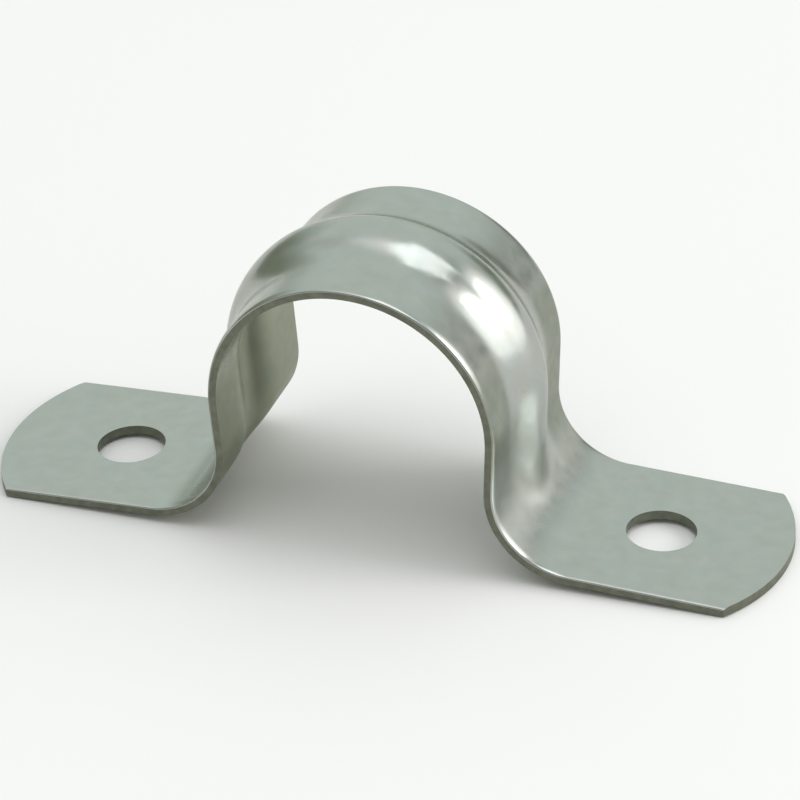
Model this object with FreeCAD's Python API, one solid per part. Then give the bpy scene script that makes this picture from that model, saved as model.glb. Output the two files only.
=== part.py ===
"""Two-hole conduit strap, stamped from one sheet of galvanised steel.

The sheet arches over the conduit, runs down two pinched-in legs and bends out
into two feet with a fixing hole each. A bead stiffens the arch and the legs and
fades out in the bends. The bead is formed, so the underside has a matching channel.

Frame: millimetres, +Z up, X along the strap, Y along the conduit. The origin is
under the arch, halfway between the holes, on the plane that the feet stand on.
"""
import FreeCAD, Part
import math
import os
from FreeCAD import Vector

# Sheet and strap
sheet_thickness = 0.76
strap_width = 16.3
overall_length = 63.5
rolled_edge_radius = 0.2

# Arch over the conduit, and the legs under it
arch_inner_radius = 10.67
leg_pinch_angle = 3.0
leg_length = 3.85

# Bends and feet
bend_inner_radius = 5.85
foot_droop_angle = 2.3
foot_end_radius = 13.4
hole_diameter = 5.4
hole_spacing = 43.5

# Stiffening bead, measured on the top
bead_width = 8.9
bead_height = 1.33
bead_base_radius = 4.5
bead_fade_angle = 55.0
bead_end_width = 6.0

# How many sections the bead's fading end is lofted through
fade_sections = 6

ALONG_CONDUIT = Vector(0, 1, 0)
UP = Vector(0, 0, 1)
RIGHT = Vector(1, 0, 0)


def turned(direction, angle):
    """A direction in the XZ plane, turned from +X towards -Z by an angle in degrees."""
    return FreeCAD.Rotation(ALONG_CONDUIT, angle).multVec(direction)


def arc(start, middle, end):
    """An arc edge through three points."""
    return Part.Arc(start, middle, end).toShape()


# The bead's section is a crown arc between two base arcs, all tangent to each other
full_flank = 2 * math.atan2(bead_height, bead_width / 2)
base_share = bead_base_radius * math.sin(full_flank) / (bead_width / 2)


def bead_edges(place, level, share, deeper):
    """The bead's line across the strap, from -Y to +Y, as three edges.

    level is the height of the flat sheet beside it, and share is how much of the
    bead stands there, from 1 to 0. deeper is 0 for the top, and the sheet's
    thickness for the underside, where the arcs run parallel to those of the top.
    """
    half_width = (bead_end_width + (bead_width - bead_end_width) * math.sqrt(share)) / 2
    if share == 0:
        joint = (1 - base_share) * half_width
        stops = [place(y, level) for y in (-half_width, -joint, joint, half_width)]
        return [Part.makeLine(stops[i], stops[i + 1]) for i in range(3)]
    height = bead_height * share
    flank = 2 * math.atan2(height, half_width)
    base_radius = base_share * half_width / math.sin(flank) + deeper
    joint = half_width - base_radius * math.sin(flank)
    joint_level = level + base_radius * (1 - math.cos(flank))
    middle = half_width - base_radius * math.sin(flank / 2)
    middle_level = level + base_radius * (1 - math.cos(flank / 2))
    return [
        arc(place(-half_width, level), place(-middle, middle_level), place(-joint, joint_level)),
        arc(place(-joint, joint_level), place(0, level + height), place(joint, joint_level)),
        arc(place(joint, joint_level), place(middle, middle_level), place(half_width, level)),
    ]


def section_wire(foot_point, outward, share):
    """The strap's cross-section, standing on its underside at foot_point.

    outward points from the underside to the top, and share is how much of the bead stands.
    """
    def place(y, level):
        return foot_point + ALONG_CONDUIT * y + outward * level

    side = strap_width / 2
    top = sheet_thickness
    roll = rolled_edge_radius
    roll_middle = roll * (1 - math.sqrt(0.5))
    bottom_bead = bead_edges(place, 0, share, sheet_thickness)
    top_bead = bead_edges(place, top, share, 0)
    bottom_start = bottom_bead[0].Vertexes[0].Point
    bottom_end = bottom_bead[2].Vertexes[1].Point
    top_start = top_bead[0].Vertexes[0].Point
    top_end = top_bead[2].Vertexes[1].Point
    edges = [Part.makeLine(place(-side, 0), bottom_start)]
    edges += bottom_bead
    edges += [
        Part.makeLine(bottom_end, place(side, 0)),
        Part.makeLine(place(side, 0), place(side, top - roll)),
        arc(place(side, top - roll), place(side - roll_middle, top - roll_middle),
            place(side - roll, top)),
        Part.makeLine(place(side - roll, top), top_end),
    ]
    edges += top_bead
    edges += [
        Part.makeLine(top_start, place(roll - side, top)),
        arc(place(roll - side, top), place(roll_middle - side, top - roll_middle),
            place(-side, top - roll)),
        Part.makeLine(place(-side, top - roll), place(-side, 0)),
    ]
    return Part.Wire(Part.__sortEdges__(edges))


# The underside's path, in the XZ plane, from the arch's right end to the right foot
arch_half_angle = 90 + leg_pinch_angle
bend_turn = arch_half_angle - foot_droop_angle
bend_outer_radius = bend_inner_radius + sheet_thickness
leg_outward = turned(UP, arch_half_angle)
leg_direction = turned(RIGHT, arch_half_angle)
foot_outward = turned(UP, foot_droop_angle)
foot_direction = turned(RIGHT, foot_droop_angle)

# Its points, first measured from the arch's centre
leg_top = leg_outward * arch_inner_radius
leg_bottom = leg_top + leg_direction * leg_length
bend_centre = leg_bottom + leg_outward * bend_outer_radius
foot_start = bend_centre - foot_outward * bend_outer_radius
foot_length = (overall_length / 2 - foot_start.x) / foot_direction.x

# The feet's tips stand on z = 0, which sets the height of the arch's centre
arch_centre = UP * -(foot_start + foot_direction * foot_length).z
leg_top += arch_centre
leg_bottom += arch_centre
bend_centre += arch_centre
foot_start += arch_centre


def bend_wire(angle):
    """The section in the right bend, an angle past the leg's end."""
    outward = turned(leg_outward, -angle)
    share = 0
    if angle < bead_fade_angle:
        share = math.cos(math.radians(90 * angle / bead_fade_angle)) ** 2
    return section_wire(bend_centre - outward * bend_outer_radius, outward, share)


def right_half():
    """The right leg, bend and foot, as four pieces that meet face to face."""
    leg = Part.Face(section_wire(leg_top, leg_outward, 1)).extrude(leg_direction * leg_length)
    angles = [bead_fade_angle * i / (fade_sections - 1) for i in range(fade_sections)]
    fading_bend = Part.makeLoft([bend_wire(angle) for angle in angles], True)
    plain_bend = Part.Face(bend_wire(bead_fade_angle))
    plain_bend = plain_bend.revolve(bend_centre, ALONG_CONDUIT, bead_fade_angle - bend_turn)
    foot = Part.Face(section_wire(foot_start, foot_outward, 0))
    foot = foot.extrude(foot_direction * (foot_length + sheet_thickness))
    return [leg, fading_bend, plain_bend, foot]


def plan_block():
    """The strap's plan with its round ends, as a block taller than the strap."""
    low = -arch_centre.z
    high = 2 * arch_centre.z + bead_height
    centre_x = overall_length / 2 - foot_end_radius
    corners = [Vector(x, y, low) for x, y in ((-centre_x, foot_end_radius), (centre_x, foot_end_radius),
                                              (centre_x, -foot_end_radius), (-centre_x, -foot_end_radius))]
    edges = [
        Part.makeLine(corners[0], corners[1]),
        arc(corners[1], Vector(overall_length / 2, 0, low), corners[2]),
        Part.makeLine(corners[2], corners[3]),
        arc(corners[3], Vector(-overall_length / 2, 0, low), corners[0]),
    ]
    return Part.Face(Part.Wire(edges)).extrude(UP * (high - low))


def hole_cutter(x):
    """A cutter for the fixing hole at x."""
    return Part.makeCylinder(hole_diameter / 2, arch_centre.z, Vector(x, 0, -arch_centre.z / 2), UP)


def conduit_strap():
    """The whole strap, as one solid."""
    arch = Part.Face(section_wire(leg_top, leg_outward, 1))
    arch = arch.revolve(arch_centre, ALONG_CONDUIT, -2 * arch_half_angle)
    right = right_half()
    left = [piece.mirror(Vector(0, 0, 0), RIGHT) for piece in right]
    strap = arch.multiFuse(right + left).removeSplitter()
    strap = strap.common(plan_block())
    for x in (-hole_spacing / 2, hole_spacing / 2):
        strap = strap.cut(hole_cutter(x))
    return strap.Solids[0]


strap = conduit_strap()
os.makedirs("parts", exist_ok=True)
strap.exportStep("parts/strap.step")
print("solid valid", strap.isValid(), "faces", len(strap.Faces), "volume", round(strap.Volume, 2))
print("arch centre above the mounting plane", round(arch_centre.z, 4))
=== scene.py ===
"""Looks for the two-hole conduit strap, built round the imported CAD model.

The strap is one stamped piece of galvanised sheet, so one finely divided mesh
stands for the CAD solid, with the same form: a section with a bead and rolled
upper edges, swept over the arch, the legs and the bends into two feet.
"""

import math

import bmesh
import bpy
from mathutils import Matrix, Vector


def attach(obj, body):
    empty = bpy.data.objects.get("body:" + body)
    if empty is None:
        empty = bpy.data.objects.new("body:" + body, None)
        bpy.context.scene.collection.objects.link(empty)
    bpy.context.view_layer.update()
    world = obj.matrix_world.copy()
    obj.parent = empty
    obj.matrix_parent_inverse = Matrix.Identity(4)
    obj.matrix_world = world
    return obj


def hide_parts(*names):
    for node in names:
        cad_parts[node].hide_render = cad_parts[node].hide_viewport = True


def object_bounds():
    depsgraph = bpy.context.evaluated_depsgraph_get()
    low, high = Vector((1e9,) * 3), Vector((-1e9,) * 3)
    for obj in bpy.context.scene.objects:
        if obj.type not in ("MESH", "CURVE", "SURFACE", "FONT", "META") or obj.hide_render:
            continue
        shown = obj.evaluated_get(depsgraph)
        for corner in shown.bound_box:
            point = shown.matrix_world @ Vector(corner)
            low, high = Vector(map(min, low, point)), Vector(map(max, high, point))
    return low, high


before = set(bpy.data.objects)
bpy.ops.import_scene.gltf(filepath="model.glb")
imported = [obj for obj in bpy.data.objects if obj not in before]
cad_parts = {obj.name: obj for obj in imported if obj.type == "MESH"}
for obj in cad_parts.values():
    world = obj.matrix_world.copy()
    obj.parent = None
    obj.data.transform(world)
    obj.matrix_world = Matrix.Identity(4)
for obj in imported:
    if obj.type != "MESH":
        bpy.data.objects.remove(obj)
cad_low, cad_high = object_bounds()

MM = 0.001

# The strap's sizes in millimetres and degrees, from the part's source
SHEET = 0.76
WIDTH = 16.3
LENGTH = 63.5
ARCH_RADIUS = 10.67
LEG_PINCH = 3.0
LEG_LENGTH = 3.85
BEND_RADIUS = 5.85
FOOT_DROOP = 2.3
FOOT_END_RADIUS = 13.4
HOLE_RADIUS = 2.7
HOLE_X = 21.75
BEAD_WIDTH = 8.9
BEAD_HEIGHT = 1.33
BEAD_BASE_RADIUS = 4.5
BEAD_FADE = 55.0
BEAD_END_WIDTH = 6.0

# The upper edges' die roll, across and down. It is flatter than the CAD's plain rounding
ROLL_WIDTH = 0.6
ROLL_DEPTH = 0.22

# How finely the mesh is divided
FLAT_STEPS = 8
BASE_STEPS = 8
CROWN_STEPS = 20
ROLL_STEPS = 8
WALL_STEPS = 3
ARCH_STEPS = 62
LEG_STEPS = 6
BEND_STEPS = 60
FOOT_STEPS = 16
END_STEPS = 44
RING_STEPS = 8

# The rings round a hole lie closer together near it, by this power of their share of the way
RING_CROWDING = 1.5

# Points this near become one, in millimetres, and folds sharper than this stay crisp, in degrees
MERGE_DISTANCE = 0.0005
CRISP_ANGLE = 35

# Where a dark reflection is painted into the zinc's colour on the steep lips beside the bead: between
# two distances along the sheet from the arch's top, and outside a distance from its middle. Each is a
# soft range
DARK_REFLECTION_START = (9.4, 13.0)
DARK_REFLECTION_END_FRONT = (17.0, 21.5)
DARK_REFLECTION_END_REAR = (22.5, 27.5)
DARK_REFLECTION_ACROSS = (3.9, 4.9)

# Where the tool has rubbed the legs matt, between two such distances, and how much rougher they are
RUBBED_START = (13.5, 17.5)
RUBBED_END = (24.0, 29.0)
RUBBED_ROUGHER = 0.16

# The finishes, by the number of their material
TOP = 0
SHEARED = 1
UNDERSIDE = 2

# The metals' colours
TOP_WARM = (0.455, 0.462, 0.435)
TOP_COOL = (0.433, 0.466, 0.448)
# The top's colour for its clouds, and for the dark reflection painted on its steep lips beside the bead
TOP_CLOUD_AND_DARK_REFLECTION = (0.248, 0.265, 0.222)
# The underside's colours are darker than the top's: painted shade for the inside of the arch
UNDERSIDE_WARM = (0.315, 0.331, 0.256)
UNDERSIDE_COOL = (0.281, 0.308, 0.245)
# The underside's colour for its clouds, and for the dark reflection painted on its steep lips beside
# the bead
UNDERSIDE_CLOUD_AND_DARK_REFLECTION = (0.281, 0.301, 0.235)
GRAZING_TINT = (0.84, 0.85, 0.82)
SHEARED_DARK = (0.124, 0.134, 0.100)
SHEARED_LIGHT = (0.180, 0.188, 0.144)

# Their gloss
TOP_ROUGHNESS = 0.21
UNDERSIDE_ROUGHNESS = 0.26
ROUGHNESS_SPREAD = 0.03
SHEARED_ROUGHNESS = 0.45
SHEARED_METALLIC = 0.7

# How much the clouds dull the zinc at most, and the least share of the painted dark reflection at a
# place in its zone
CLOUD_MOST = 0.16
PAINTED_REFLECTION_LEAST = 0.75

# The size of each pattern's features in millimetres
MOTTLE_SIZE = 2.2
CLOUD_SIZE = 1.4
# The painted dark reflection on the steep lips is broken up at this size
PAINTED_REFLECTION_BREAKUP_SIZE = 1.1
PATCH_SIZE = 0.9
WAVE_SIZE = 3.2
PEEL_SIZE = 0.9
MARK_SIZE = 0.5
GRAIN_SIZE = 0.35
TEAR_SIZE = 0.6

# How deep the uneven ones are in millimetres
WAVE_DEPTH = 0.010
PEEL_DEPTH = 0.0065
MARK_DEPTH = 0.0015
GRAIN_DEPTH = 0.0008
TEAR_DEPTH = 0.01

# How much longer the marks are along the strap than across it
MARK_STRETCH = (9, 1, 1)

# Most of a noise texture's values lie between these
NOISE_LOW = 0.3
NOISE_HIGH = 0.7

# The camera, at the photograph's viewing angle. The azimuth runs from the front to the right.
# Angles are in degrees and lengths in millimetres, apart from the clips, which are in metres
AZIMUTH = 20.9993
ELEVATION = 32.1790
ROLL = -2.6008
DISTANCE = 339.151
TARGET = Vector((1.0260, 0, 9.2431))
LENS = 200.295
SENSOR_WIDTH = 36
CLIP_START = 0.01
CLIP_END = 20

# The studio: the lamps' distance and half the floor's width in metres, and the gap that keeps
# the floor clear of the strap, in millimetres
LAMP_DISTANCE = 1.2
FLOOR_REACH = 4
FLOOR_GAP = 0.02
FLOOR_COLOUR = (0.87, 0.855, 0.86)

# Its walls' colour, and the soft round patches on them: azimuth, elevation, the angles at which
# a patch starts and stops fading, all in degrees, and its colour
WALL_COLOUR = (0.42, 0.43, 0.40)
WALL_PATCHES = (
    (-25, 42, 25, 70, (0.87, 0.95, 0.90)),
    (-145, 70, 4, 28, (1.3, 1.3, 1.3)),
    (-70, 0, 5, 40, (0.28, 0.32, 0.24)),
    (19, 8, 3, 18, (0.30, 0.33, 0.28)),
    (76, 16, 19, 42, (2.05, 2.05, 2.0)),
)

SIDE = WIDTH / 2
SHOULDER = SIDE - ROLL_WIDTH
FULL_FLANK = 2 * math.atan2(BEAD_HEIGHT, BEAD_WIDTH / 2)
BASE_SHARE = BEAD_BASE_RADIUS * math.sin(FULL_FLANK) / (BEAD_WIDTH / 2)


def between(start, end, steps):
    """Evenly spaced values from start to end, both included."""
    return [start + (end - start) * i / steps for i in range(steps + 1)]


def turned_up(angle):
    """The upward direction, turned towards +X by an angle in degrees."""
    return Vector((math.sin(math.radians(angle)), 0, math.cos(math.radians(angle))))


def turned_right(angle):
    """The +X direction, turned towards -Z by an angle in degrees."""
    return Vector((math.cos(math.radians(angle)), 0, -math.sin(math.radians(angle))))


def bead_line(level, share, deeper):
    """The bead's (y, level) points from -Y to +Y, where share of the bead stands."""
    half_width = (BEAD_END_WIDTH + (BEAD_WIDTH - BEAD_END_WIDTH) * math.sqrt(share)) / 2
    if share == 0:
        joint = (1 - BASE_SHARE) * half_width
        left = [(y, level) for y in between(-half_width, -joint, BASE_STEPS)]
        crown = [(y, level) for y in between(-joint, joint, CROWN_STEPS)]
    else:
        height = BEAD_HEIGHT * share
        flank = 2 * math.atan2(height, half_width)
        base_radius = BASE_SHARE * half_width / math.sin(flank) + deeper
        crown_radius = half_width / math.sin(flank) - base_radius
        left = []
        for angle in between(0, flank, BASE_STEPS):
            rise = base_radius * (1 - math.cos(angle))
            left.append((base_radius * math.sin(angle) - half_width, level + rise))
        crown = []
        for angle in between(-flank, flank, CROWN_STEPS):
            fall = crown_radius * (1 - math.cos(angle))
            crown.append((crown_radius * math.sin(angle), level + height - fall))
    right = [(-y, height_there) for y, height_there in reversed(left)]
    return left + crown[1:-1] + right


def top_line(share):
    """The section's upper line between its rolled edges, from -Y to +Y."""
    bead = bead_line(SHEET, share, 0)
    first = [(y, SHEET) for y in between(-SHOULDER, bead[0][0], FLAT_STEPS)]
    last = [(-y, level) for y, level in reversed(first)]
    return first + bead[1:-1] + last


def bottom_line(share):
    """The section's lower line, from -Y to +Y, with a point under each rolled edge's start."""
    bead = bead_line(0, share, SHEET)
    first = [(-SIDE, 0)] + [(y, 0) for y in between(-SHOULDER, bead[0][0], FLAT_STEPS)]
    last = [(-y, level) for y, level in reversed(first)]
    return first + bead[1:-1] + last


def roll_line():
    """The rolled edge's (y, level) points at +Y, from the side wall up to the top."""
    return [(SHOULDER + ROLL_WIDTH * math.cos(angle), SHEET - ROLL_DEPTH * (1 - math.sin(angle)))
            for angle in between(0, math.pi / 2, ROLL_STEPS)]


def section(share):
    """The strap's closed section: along the underside to +Y, up, back along the top, and down."""
    wall = [(SIDE, level) for level in between(0, SHEET - ROLL_DEPTH, WALL_STEPS)]
    roll = roll_line()
    far_side = wall[1:] + roll[1:-1]
    near_side = [(-y, level) for y, level in reversed(far_side)]
    return bottom_line(share) + far_side + list(reversed(top_line(share))) + near_side


# The underside's path, from the arch's top to the right foot's start
arch_half_angle = 90 + LEG_PINCH
bend_turn = arch_half_angle - FOOT_DROOP
leg_outward = turned_up(arch_half_angle)
leg_direction = turned_right(arch_half_angle)
foot_outward = turned_up(FOOT_DROOP)
foot_direction = turned_right(FOOT_DROOP)
leg_top = leg_outward * ARCH_RADIUS
leg_bottom = leg_top + leg_direction * LEG_LENGTH
bend_centre = leg_bottom + leg_outward * (BEND_RADIUS + SHEET)
foot_start = bend_centre - foot_outward * (BEND_RADIUS + SHEET)
foot_length = (LENGTH / 2 - foot_start.x) / foot_direction.x
arch_centre = Vector((0, 0, -(foot_start + foot_direction * foot_length).z))
leg_top += arch_centre
leg_bottom += arch_centre
bend_centre += arch_centre
foot_start += arch_centre


def stations():
    """The right half's (point on the underside, outward direction, share of the bead)."""
    found = []
    for angle in between(0, arch_half_angle, ARCH_STEPS):
        outward = turned_up(angle)
        found.append((arch_centre + outward * ARCH_RADIUS, outward, 1))
    for along in between(0, LEG_LENGTH, LEG_STEPS)[1:]:
        found.append((leg_top + leg_direction * along, leg_outward, 1))
    for angle in between(0, bend_turn, BEND_STEPS)[1:]:
        outward = turned_up(arch_half_angle - angle)
        share = 0
        if angle < BEAD_FADE:
            share = math.cos(math.radians(90 * angle / BEAD_FADE)) ** 2
        found.append((bend_centre - outward * (BEND_RADIUS + SHEET), outward, share))
    return found


def section_finishes():
    """The finish of each face round the section, in the order of its points."""
    side = [SHEARED] * WALL_STEPS + [TOP] * ROLL_STEPS
    bottom = [UNDERSIDE] * (len(bottom_line(1)) - 1)
    return bottom + side + [TOP] * (len(top_line(1)) - 1) + side[::-1]


def add_grid(mesh, rows, closed, finishes):
    """Faces between rows of points in millimetres. finishes has each column's material number."""
    made = [[mesh.verts.new(point * MM) for point in row] for row in rows]
    count = len(rows[0])
    last = count if closed else count - 1
    for near, far in zip(made, made[1:]):
        for i in range(last):
            following = (i + 1) % count
            face = mesh.faces.new((near[i], near[following], far[following], far[i]))
            face.smooth = True
            face.material_index = finishes[i]


def end_x(y):
    """Where the foot's round end is, at a place across the strap."""
    return LENGTH / 2 - FOOT_END_RADIUS + math.sqrt(FOOT_END_RADIUS ** 2 - y ** 2)


def foot_point(x, y, level):
    """A point of the right foot, at a level above its underside."""
    tilt = math.radians(FOOT_DROOP)
    z = foot_start.z - (x - foot_start.x) * math.tan(tilt) + level / math.cos(tilt)
    return Vector((x, y, z))


def foot_loop(level, limit):
    """The outline of the foot's upper or lower face, with no y past the limit."""
    start_x = foot_start.x + foot_outward.x * level
    across = [y for y, _ in bottom_line(0)]
    roll_across = [y for y, _ in roll_line()]
    end_across = roll_across + between(SHOULDER, -SHOULDER, END_STEPS)[1:-1]
    end_across += [-y for y in reversed(roll_across)]
    runs = between(start_x, end_x(limit), FOOT_STEPS)[1:-1]
    plan = [(start_x, y) for y in across]
    plan += [(x, SIDE) for x in runs]
    plan += [(None, y) for y in end_across]
    plan += [(x, -SIDE) for x in reversed(runs)]
    loop = []
    for x, y in plan:
        y = max(-limit, min(limit, y))
        loop.append((end_x(y) if x is None else x, y))
    return loop


def hole_point(x, y):
    """The point of the hole's edge that lies towards a place on the foot."""
    direction = Vector((x - HOLE_X, y)).normalized() * HOLE_RADIUS
    return HOLE_X + direction.x, direction.y


def add_foot(mesh):
    """The right foot's faces, holes and edges."""
    rims = []
    lower = foot_loop(0, SIDE)
    for level, loop, finish in ((0, lower, UNDERSIDE), (SHEET, foot_loop(SHEET, SHOULDER), TOP)):
        rim = [hole_point(x, y) for x, y in lower]
        rims.append([foot_point(x, y, level) for x, y in rim])
        rows = []
        for part in between(0, 1, RING_STEPS):
            way = part ** RING_CROWDING
            rows.append([foot_point(rx + (x - rx) * way, ry + (y - ry) * way, level)
                         for (rx, ry), (x, y) in zip(rim, loop)])
        add_grid(mesh, rows, True, [finish] * len(lower))
    add_grid(mesh, rims, True, [SHEARED] * len(lower))
    walls = [(SIDE, level) for level in between(0, SHEET - ROLL_DEPTH, WALL_STEPS)]
    for line, finish in ((walls, SHEARED), (roll_line(), TOP)):
        for sign in (1, -1):
            rows = []
            for y, level in line:
                start_x = foot_start.x + foot_outward.x * level
                runs = between(start_x, end_x(y), FOOT_STEPS)
                rows.append([foot_point(x, sign * y, level) for x in runs])
            add_grid(mesh, rows, False, [finish] * FOOT_STEPS)
    roll = roll_line()
    columns = roll + [(y, SHEET) for y in between(SHOULDER, -SHOULDER, END_STEPS)[1:-1]]
    columns += [(-y, level) for y, level in reversed(roll)]
    rows = []
    for y, top in columns:
        rows.append([foot_point(end_x(y), y, level) for level in between(0, top, WALL_STEPS)])
    add_grid(mesh, rows, False, [SHEARED] * WALL_STEPS)


def along_strap(point):
    """About how far along the sheet a point is from the arch's top, in millimetres."""
    x = abs(point.x)
    at_leg = ARCH_RADIUS * math.radians(arch_half_angle)
    if x > foot_start.x:
        distance = at_leg + LEG_LENGTH + BEND_RADIUS * math.radians(bend_turn) + x - foot_start.x
    elif point.z < leg_bottom.z:
        turn = math.atan2(bend_centre.x - x, bend_centre.z - point.z)
        distance = at_leg + LEG_LENGTH + BEND_RADIUS * (math.radians(arch_half_angle) - turn)
    elif point.z < leg_top.z:
        distance = at_leg + leg_top.z - point.z
    else:
        distance = ARCH_RADIUS * math.atan2(x, point.z - arch_centre.z)
    return math.copysign(distance, point.x)


def ramp(value, low, high):
    """0 below low, 1 above high, and a smooth rise between them."""
    part = max(0, min(1, (value - low) / (high - low)))
    return part * part * (3 - 2 * part)


def mark_places(mesh):
    """Note on each vertex where on the sheet it is, how much painted dark reflection it gets, and how
    far it is rubbed there.
    """
    sheet = mesh.verts.layers.float_vector.new("sheet")
    painted_reflection = mesh.verts.layers.float.new("painted_reflection")
    rubbed = mesh.verts.layers.float.new("rubbed")
    for vert in mesh.verts:
        along = along_strap(vert.co / MM)
        across = vert.co.y / MM
        vert[sheet] = Vector((along, across, 0)) * MM
        # The steep lips beside the bead get a painted dark reflection, standing in for the dark
        # surroundings they face
        end = DARK_REFLECTION_END_REAR if across > 0 else DARK_REFLECTION_END_FRONT
        steep = ramp(abs(along), *DARK_REFLECTION_START) * (1 - ramp(abs(along), *end))
        vert[painted_reflection] = steep * ramp(abs(across), *DARK_REFLECTION_ACROSS)
        vert[rubbed] = ramp(abs(along), *RUBBED_START) * (1 - ramp(abs(along), *RUBBED_END))


def strap_mesh():
    """The whole strap: the right half, and its mirror image."""
    mesh = bmesh.new()
    rows = []
    for point, outward, share in stations():
        rows.append([point + outward * level + Vector((0, y, 0)) for y, level in section(share)])
    add_grid(mesh, rows, True, section_finishes())
    add_foot(mesh)
    right = mesh.verts[:] + mesh.edges[:] + mesh.faces[:]
    copied = bmesh.ops.duplicate(mesh, geom=right)["geom"]
    for item in copied:
        if isinstance(item, bmesh.types.BMVert):
            item.co.x = -item.co.x
    bmesh.ops.remove_doubles(mesh, verts=mesh.verts[:], dist=MERGE_DISTANCE * MM)
    bmesh.ops.recalc_face_normals(mesh, faces=mesh.faces[:])
    for edge in mesh.edges:
        if len(edge.link_faces) == 2 and edge.calc_face_angle() > math.radians(CRISP_ANGLE):
            edge.smooth = False
    mark_places(mesh)
    data = bpy.data.meshes.new("galvanised_strap")
    mesh.to_mesh(data)
    mesh.free()
    return data


def new_material(name, colour, metallic, roughness):
    """A material with its node tree, and the shader that its surface comes from."""
    material = bpy.data.materials.new(name)
    material.use_nodes = True
    shader = material.node_tree.nodes["Principled BSDF"]
    shader.inputs["Base Color"].default_value = (*colour, 1)
    shader.inputs["Metallic"].default_value = metallic
    shader.inputs["Roughness"].default_value = roughness
    return material, shader


def noise(tree, vector, size, detail, stretch=(1, 1, 1)):
    """Noise with features of about a size in millimetres, stretched along the axes."""
    mapping = tree.nodes.new("ShaderNodeMapping")
    mapping.inputs["Scale"].default_value = [1 / (size * MM * part) for part in stretch]
    texture = tree.nodes.new("ShaderNodeTexNoise")
    texture.inputs["Scale"].default_value = 1
    texture.inputs["Detail"].default_value = detail
    tree.links.new(vector, mapping.inputs["Vector"])
    tree.links.new(mapping.outputs["Vector"], texture.inputs["Vector"])
    return texture.outputs["Fac"]


def spread(tree, value, low, high):
    """A noise value taken from its usual range to another."""
    node = tree.nodes.new("ShaderNodeMapRange")
    node.inputs["From Min"].default_value = NOISE_LOW
    node.inputs["From Max"].default_value = NOISE_HIGH
    node.inputs["To Min"].default_value = low
    node.inputs["To Max"].default_value = high
    tree.links.new(value, node.inputs["Value"])
    return node.outputs["Result"]


def blend(tree, factor, first, second):
    """A colour that goes from the first to the second with the factor."""
    node = tree.nodes.new("ShaderNodeMix")
    node.data_type = "RGBA"
    tree.links.new(factor, node.inputs["Factor"])
    for socket, colour in ((node.inputs[6], first), (node.inputs[7], second)):
        if isinstance(colour, bpy.types.NodeSocket):
            tree.links.new(colour, socket)
        else:
            socket.default_value = (*colour, 1)
    return node.outputs[2]


def bump(tree, height, depth, under=None):
    """A normal bent by a height from 0 to 1, that stands for a depth in millimetres."""
    node = tree.nodes.new("ShaderNodeBump")
    node.inputs["Distance"].default_value = depth * MM
    tree.links.new(height, node.inputs["Height"])
    if under is not None:
        tree.links.new(under, node.inputs["Normal"])
    return node.outputs["Normal"]


def attribute(tree, name):
    """The node that reads one of the mesh's attributes."""
    node = tree.nodes.new("ShaderNodeAttribute")
    node.attribute_name = name
    return node


def zinc(name, warm, cool, cloud_and_reflection, rough):
    """Galvanised sheet: a satin zinc skin, faintly mottled, with fine marks along the strap.

    warm and cool are the mottling's two colours, and the third colour is that of its clouds
    and of the dark reflection painted on the steep lips beside the bead. rough is its roughness where
    it isn't rubbed.
    """
    material, shader = new_material(name, warm, 1, rough)
    shader.inputs["Specular Tint"].default_value = (*GRAZING_TINT, 1)
    tree = material.node_tree
    place = tree.nodes.new("ShaderNodeTexCoord").outputs["Object"]
    mottle = spread(tree, noise(tree, place, MOTTLE_SIZE, detail=3), 0, 1)
    cloud = spread(tree, noise(tree, place, CLOUD_SIZE, detail=5), 0, CLOUD_MOST)
    skin = blend(tree, cloud, blend(tree, mottle, warm, cool), cloud_and_reflection)
    # The dark reflection painted on the steep lips, broken up by noise
    reflection_share = tree.nodes.new("ShaderNodeMath")
    reflection_share.operation = "MULTIPLY"
    tree.links.new(attribute(tree, "painted_reflection").outputs["Fac"], reflection_share.inputs[0])
    tree.links.new(spread(tree, noise(tree, place, PAINTED_REFLECTION_BREAKUP_SIZE, detail=4), PAINTED_REFLECTION_LEAST, 1), reflection_share.inputs[1])
    tree.links.new(blend(tree, reflection_share.outputs["Value"], skin, cloud_and_reflection), shader.inputs["Base Color"])
    rubbed = tree.nodes.new("ShaderNodeMath")
    rubbed.operation = "MULTIPLY_ADD"
    tree.links.new(attribute(tree, "rubbed").outputs["Fac"], rubbed.inputs[0])
    rubbed.inputs[1].default_value = RUBBED_ROUGHER
    patches = noise(tree, place, PATCH_SIZE, detail=0)
    patches = spread(tree, patches, rough - ROUGHNESS_SPREAD, rough + ROUGHNESS_SPREAD)
    tree.links.new(patches, rubbed.inputs[2])
    tree.links.new(rubbed.outputs["Value"], shader.inputs["Roughness"])
    along = attribute(tree, "sheet").outputs["Vector"]
    waves = bump(tree, noise(tree, place, WAVE_SIZE, detail=1), WAVE_DEPTH)
    peel = bump(tree, noise(tree, place, PEEL_SIZE, detail=1), PEEL_DEPTH, waves)
    marks = bump(tree, noise(tree, along, MARK_SIZE, detail=3, stretch=MARK_STRETCH), MARK_DEPTH, peel)
    grain = bump(tree, noise(tree, place, GRAIN_SIZE, detail=3), GRAIN_DEPTH, marks)
    tree.links.new(grain, shader.inputs["Normal"])
    return material


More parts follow.
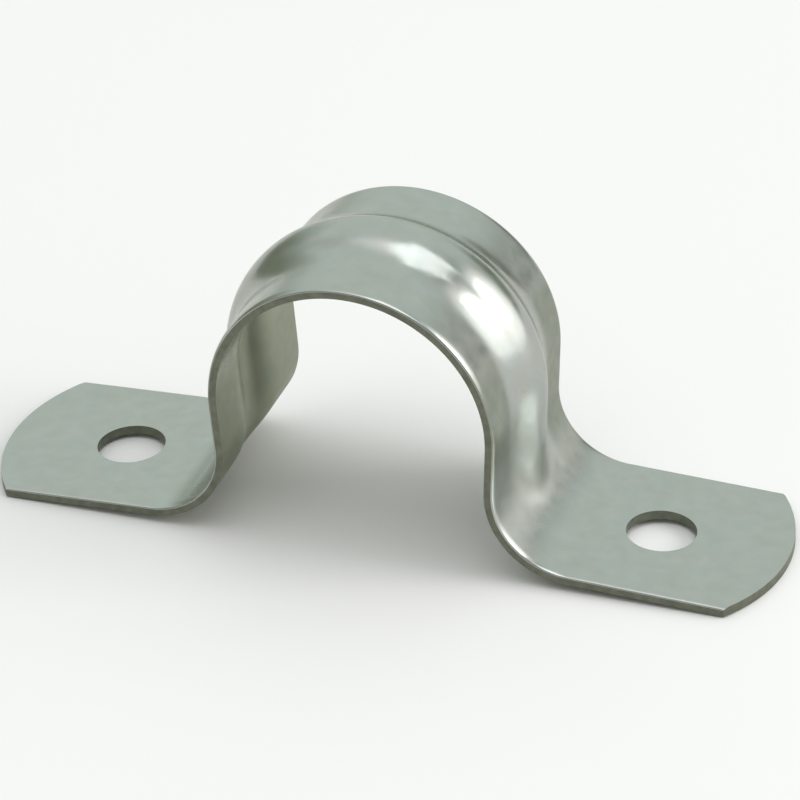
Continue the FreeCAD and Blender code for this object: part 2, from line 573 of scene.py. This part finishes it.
def sheared():
    """The sheared edges: dull bare steel, slightly uneven."""
    material, shader = new_material("sheared_steel", SHEARED_DARK, SHEARED_METALLIC, SHEARED_ROUGHNESS)
    tree = material.node_tree
    place = tree.nodes.new("ShaderNodeTexCoord").outputs["Object"]
    torn = spread(tree, noise(tree, place, TEAR_SIZE, detail=3), 0, 1)
    tree.links.new(blend(tree, torn, SHEARED_DARK, SHEARED_LIGHT), shader.inputs["Base Color"])
    tree.links.new(bump(tree, torn, TEAR_DEPTH), shader.inputs["Normal"])
    return material


# The strap. Its materials are in the order of the finishes' numbers
strap = bpy.data.objects.new("galvanised_strap", strap_mesh())
bpy.context.collection.objects.link(strap)
strap.data.materials.append(
    zinc("zinc_coating", TOP_WARM, TOP_COOL, TOP_CLOUD_AND_DARK_REFLECTION, TOP_ROUGHNESS))
strap.data.materials.append(sheared())
# The underside's zinc is a darker copy of the top's: painted shade
strap.data.materials.append(
    zinc("zinc_underside_painted_shade", UNDERSIDE_WARM, UNDERSIDE_COOL, UNDERSIDE_CLOUD_AND_DARK_REFLECTION, UNDERSIDE_ROUGHNESS))
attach(strap, "root")
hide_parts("strap")

# The camera. back points from its target to the camera, and the picture is rolled about it
azimuth = math.radians(AZIMUTH)
elevation = math.radians(ELEVATION)
roll_angle = math.radians(ROLL)
back = Vector((math.sin(azimuth) * math.cos(elevation),
               -math.cos(azimuth) * math.cos(elevation),
               math.sin(elevation)))
level_right = Vector((math.cos(azimuth), math.sin(azimuth), 0))
level_up = back.cross(level_right)
camera_right = level_right * math.cos(roll_angle) + level_up * math.sin(roll_angle)
camera_up = level_up * math.cos(roll_angle) - level_right * math.sin(roll_angle)
camera_data = bpy.data.cameras.new("camera")
camera_data.lens = LENS
camera_data.sensor_width = SENSOR_WIDTH
camera_data.clip_start = CLIP_START
camera_data.clip_end = CLIP_END
camera = bpy.data.objects.new("camera", camera_data)
bpy.context.collection.objects.link(camera)
turn = Matrix((camera_right, camera_up, back)).transposed().to_4x4()
camera.matrix_world = Matrix.Translation((TARGET + back * DISTANCE) * MM) @ turn
bpy.context.scene.camera = camera


def direction_to(azimuth, elevation):
    """A direction in the studio. Azimuth 0 is behind the strap (+Y), and 90 is to its right (+X)."""
    around = math.radians(azimuth)
    above = math.radians(elevation)
    return Vector((math.sin(around) * math.cos(above),
                   math.cos(around) * math.cos(above),
                   math.sin(above)))


def softbox(name, azimuth, elevation, width, height, radiance, colour):
    """A rectangular lamp that faces the strap. Its width and height are angles in degrees."""
    data = bpy.data.lights.new(name, "AREA")
    data.shape = "RECTANGLE"
    data.size = 2 * LAMP_DISTANCE * math.tan(math.radians(width / 2))
    data.size_y = 2 * LAMP_DISTANCE * math.tan(math.radians(height / 2))
    data.energy = radiance * math.pi * data.size * data.size_y
    data.color = colour
    lamp = bpy.data.objects.new(name, data)
    away = direction_to(azimuth, elevation)
    lamp.location = away * LAMP_DISTANCE
    lamp.rotation_mode = "QUATERNION"
    lamp.rotation_quaternion = away.to_track_quat("Z", "Y")
    lamp.visible_camera = False
    bpy.context.collection.objects.link(lamp)


softbox("key_softbox", azimuth=80, elevation=30, width=24, height=24,
        radiance=4.7, colour=(1.0, 0.99, 0.98))
softbox("top_softbox", azimuth=118, elevation=76, width=34, height=32,
        radiance=1.6, colour=(0.94, 0.98, 1.0))


def studio_floor():
    """A wide pale floor just under the strap's lowest point."""
    mesh = bmesh.new()
    bmesh.ops.create_grid(mesh, x_segments=1, y_segments=1, size=FLOOR_REACH)
    data = bpy.data.meshes.new("floor")
    mesh.to_mesh(data)
    mesh.free()
    made = bpy.data.objects.new("floor", data)
    made.location.z = cad_low.z - FLOOR_GAP * MM
    bpy.context.collection.objects.link(made)
    material, shader = new_material("pale_floor", FLOOR_COLOUR, 0, 1)
    shader.inputs["Specular IOR Level"].default_value = 0
    data.materials.append(material)


studio_floor()


def lobe(tree, direction, azimuth, elevation, inner, outer):
    """1 within the inner angle of a direction, falling softly to 0 at the outer angle."""
    nearness = tree.nodes.new("ShaderNodeVectorMath")
    nearness.operation = "DOT_PRODUCT"
    nearness.inputs[1].default_value = direction_to(azimuth, elevation)
    tree.links.new(direction, nearness.inputs[0])
    fall = tree.nodes.new("ShaderNodeMapRange")
    fall.interpolation_type = "SMOOTHSTEP"
    fall.inputs["From Min"].default_value = math.cos(math.radians(outer))
    fall.inputs["From Max"].default_value = math.cos(math.radians(inner))
    tree.links.new(nearness.outputs["Value"], fall.inputs["Value"])
    return fall.outputs["Result"]


def studio_world():
    """A soft grey studio: pale high behind, bright to the right and high at the front left, and
    darker low down on the left and behind."""
    world = bpy.data.worlds.new("studio")
    world.use_nodes = True
    tree = world.node_tree
    direction = tree.nodes.new("ShaderNodeTexCoord").outputs["Generated"]
    colour = WALL_COLOUR
    for azimuth, elevation, inner, outer, shade in WALL_PATCHES:
        patch = lobe(tree, direction, azimuth, elevation, inner, outer)
        colour = blend(tree, patch, colour, shade)
    tree.links.new(colour, tree.nodes["Background"].inputs["Color"])
    bpy.context.scene.world = world


studio_world()
bpy.context.scene.view_settings.view_transform = "Standard"
